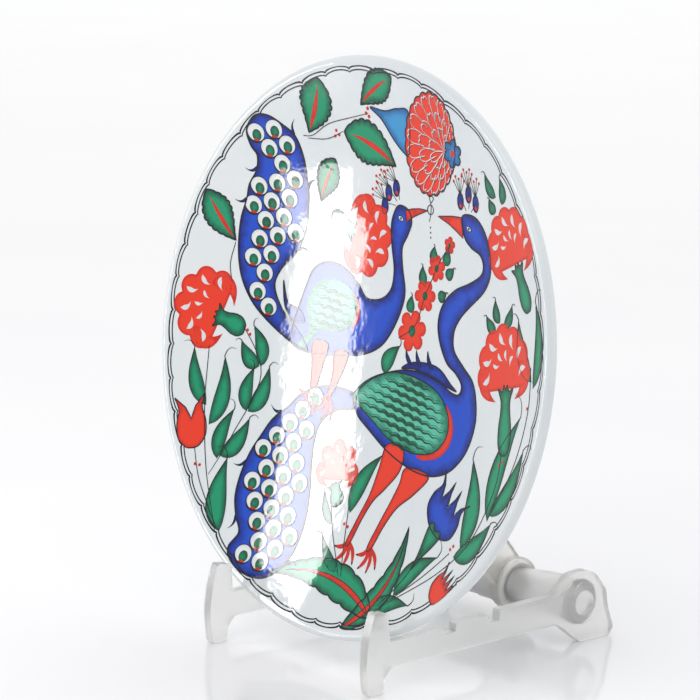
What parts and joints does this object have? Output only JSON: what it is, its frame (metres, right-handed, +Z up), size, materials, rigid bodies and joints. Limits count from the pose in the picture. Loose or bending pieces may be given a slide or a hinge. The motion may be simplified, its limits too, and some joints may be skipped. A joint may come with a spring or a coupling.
{
  "type": "decorative plate on a stand",
  "caption": "Round shallow glazed dish with painted birds and flowers, leaning on a low clear stand with hooks, notched bars and a hinged back-rest.",
  "frame": {"origin": "on the floor, under the middle of the overall box", "axes": "+Z up, -Y out of the plate's painted front, +X along the stand's barrel to the viewer's right"},
  "size_m": [0.3, 0.1747, 0.3114],
  "materials": {
    "glaze": "glossy",
    "clear_plastic": "clear, slightly frosted"
  },
  "bodies": {
    "left_side": {"left_half": "clear_plastic"},
    "right_side": {"right_half": "clear_plastic"},
    "rest": {"back_rest": "clear_plastic"},
    "dish": {"plate": "glaze"}
  },
  "joints": [
    {"name": "width_slide", "type": "slide", "parent": "left_side", "child": "right_side", "axis": [1, 0, 0], "range_m": [0, 0.022]},
    {"name": "back_rest_fold", "type": "hinge", "parent": "left_side", "child": "rest", "pos_m": [0.0118, 0.0646, 0.0212], "axis": [-1, 0, 0], "range_deg": [0, 110]},
    {"name": "plate_lift", "type": "slide", "parent": "left_side", "child": "dish", "axis": [0, 0.1392, 0.9903], "range_m": [0, 0.022]}
  ]
}
